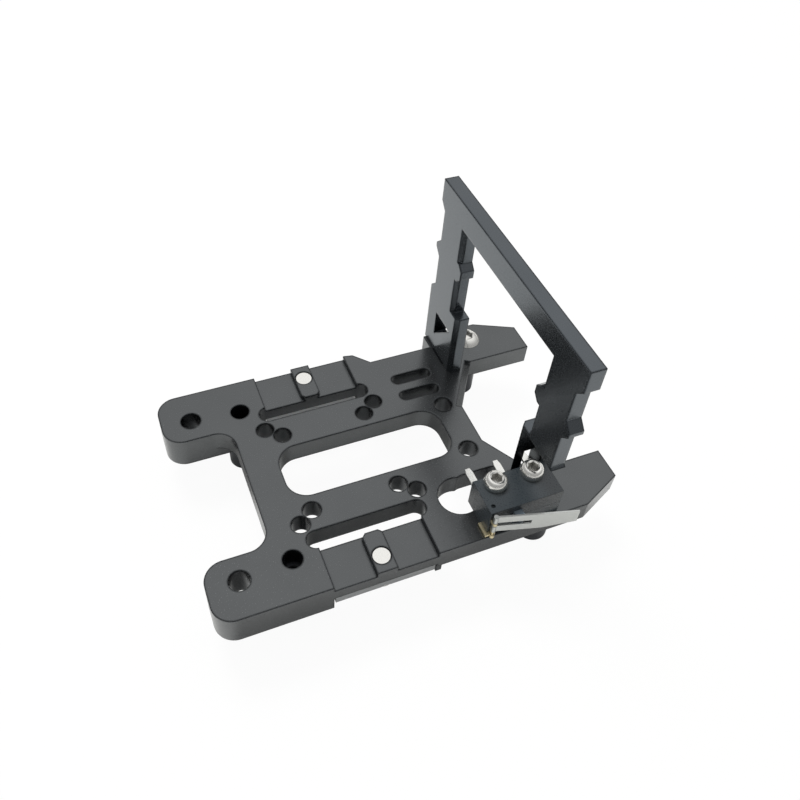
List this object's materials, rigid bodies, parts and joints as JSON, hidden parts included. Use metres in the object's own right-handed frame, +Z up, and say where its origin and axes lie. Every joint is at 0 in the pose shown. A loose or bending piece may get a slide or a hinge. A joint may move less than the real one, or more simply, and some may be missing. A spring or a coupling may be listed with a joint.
{
  "type": "printer carriage bracket",
  "caption": "Milled black carriage plate for a rail block, with an upright tool frame, belt clamps under its edges, stand-off posts and a small lever switch.",
  "frame": {"origin": "middle of the rail block's bolt pattern, on the plate's top face", "axes": "+X along the plate towards the upright frame, +Y to the side without the switch, +Z up"},
  "size_m": [0.0699, 0.0483, 0.0487],
  "materials": {
    "black_anodise": "black anodised, satin",
    "black_anodise_frame": "black anodised, satin",
    "bare_aluminium": "bare, milled",
    "stainless_steel": "bright stainless",
    "post_anodise": "black anodised, turned",
    "switch_plastic": "moulded, satin",
    "tinned_terminal": "plated strip",
    "spring_brass": "stamped strip",
    "plunger_plastic": "moulded",
    "lever_steel": "rolled strip"
  },
  "bodies": {
    "bracket": {"carriage_plate": "black_anodise", "upright_frame": "black_anodise_frame", "belt_clamp_far": "bare_aluminium", "belt_clamp_near": "bare_aluminium", "clamp_screw_far": "stainless_steel", "clamp_screw_near": "stainless_steel", "arm_screw_far": "stainless_steel", "post_left_far": "post_anodise", "post_left_near": "post_anodise", "post_right_far": "post_anodise", "post_right_near": "post_anodise", "switch_base": "switch_plastic", "switch_cover": "switch_plastic", "terminal_common": "tinned_terminal", "terminal_closed": "tinned_terminal", "terminal_open": "tinned_terminal", "contact_blade": "spring_brass", "hinge_bracket": "spring_brass", "switch_screw_left": "stainless_steel", "switch_screw_right": "stainless_steel"},
    "lever": {"switch_lever": "lever_steel"},
    "plunger": {"switch_plunger": "plunger_plastic"}
  },
  "joints": [
    {"name": "lever_press", "type": "hinge", "parent": "bracket", "child": "lever", "pos_m": [0.0175, -0.02225, 0], "axis": [0, 0, 1], "range_deg": [0, 11], "stiffness_Nm_per_rad": 0.004, "springref_deg": -5.73},
    {"name": "plunger_slide", "type": "slide", "parent": "bracket", "child": "plunger", "axis": [0, 1, 0], "range_m": [0, 0.0009]}
  ],
  "couplings": [
    {"joint": "plunger_slide", "follows": "lever_press", "m_per_rad": 0.00425}
  ]
}
